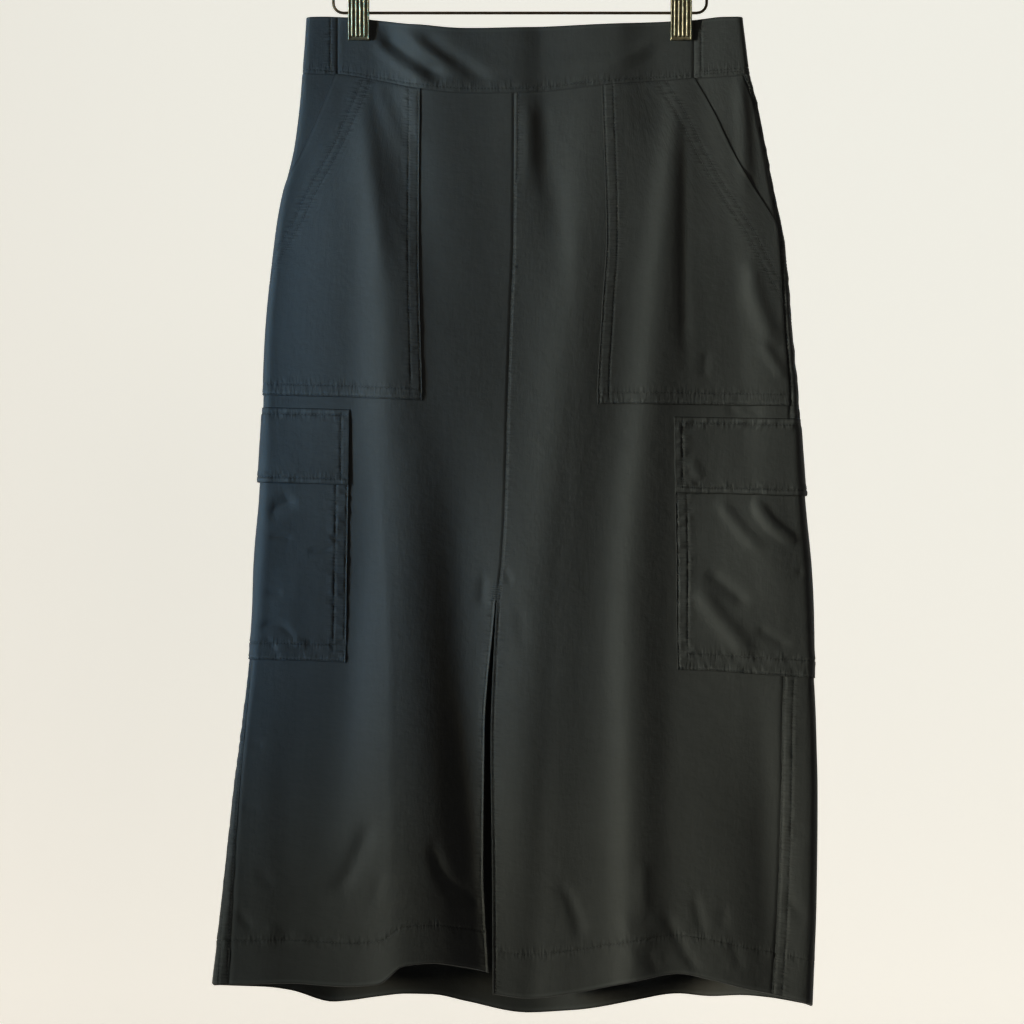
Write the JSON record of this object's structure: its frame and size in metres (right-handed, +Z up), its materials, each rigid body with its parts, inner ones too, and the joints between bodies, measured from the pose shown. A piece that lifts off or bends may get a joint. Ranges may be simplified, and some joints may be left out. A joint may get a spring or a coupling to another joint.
{
  "type": "cargo skirt",
  "caption": "Midi cargo skirt with patch and flap pockets and a centre front slit, hung by its waistband from a wire clip hanger.",
  "frame": {"origin": "the inside of the hook's crown, where a rail carries the hanger", "axes": "+Z up, +X to the right as seen from the skirt's front, +Y to the skirt's back"},
  "size_m": [0.5452, 0.0716, 1.0382],
  "materials": {
    "front_left": "soft matt dark slate garment-washed twill",
    "front_right": "soft matt dark slate garment-washed twill",
    "back": "soft matt dark slate garment-washed twill",
    "hip_pocket_left": "soft matt dark slate garment-washed twill",
    "hip_pocket_right": "soft matt dark slate garment-washed twill",
    "cargo_pocket_left": "soft matt dark slate garment-washed twill",
    "cargo_pocket_right": "soft matt dark slate garment-washed twill",
    "cargo_flap_left": "soft matt dark slate garment-washed twill",
    "cargo_flap_right": "soft matt dark slate garment-washed twill",
    "waistband_front": "soft matt dark slate garment-washed twill",
    "waistband_back": "soft matt dark slate garment-washed twill",
    "hanger_frame": "dark antique brass plated steel wire",
    "hanger_hook": "dark antique brass plated steel wire",
    "clip_left_front": "antique brass plated pressed steel",
    "clip_left_back": "antique brass plated pressed steel",
    "clip_left_spring": "antique brass plated pressed steel",
    "clip_right_front": "antique brass plated pressed steel",
    "clip_right_back": "antique brass plated pressed steel",
    "clip_right_spring": "antique brass plated pressed steel"
  },
  "bodies": {
    "root": {"front_left": "front_left", "front_right": "front_right", "back": "back", "hip_pocket_left": "hip_pocket_left", "hip_pocket_right": "hip_pocket_right", "cargo_pocket_left": "cargo_pocket_left", "cargo_pocket_right": "cargo_pocket_right", "cargo_flap_left": "cargo_flap_left", "cargo_flap_right": "cargo_flap_right", "waistband_front": "waistband_front", "waistband_back": "waistband_back", "hanger_frame": "hanger_frame", "hanger_hook": "hanger_hook", "clip_left_front": "clip_left_front", "clip_left_back": "clip_left_back", "clip_left_spring": "clip_left_spring", "clip_right_front": "clip_right_front", "clip_right_back": "clip_right_back", "clip_right_spring": "clip_right_spring"}
  },
  "joints": []
}
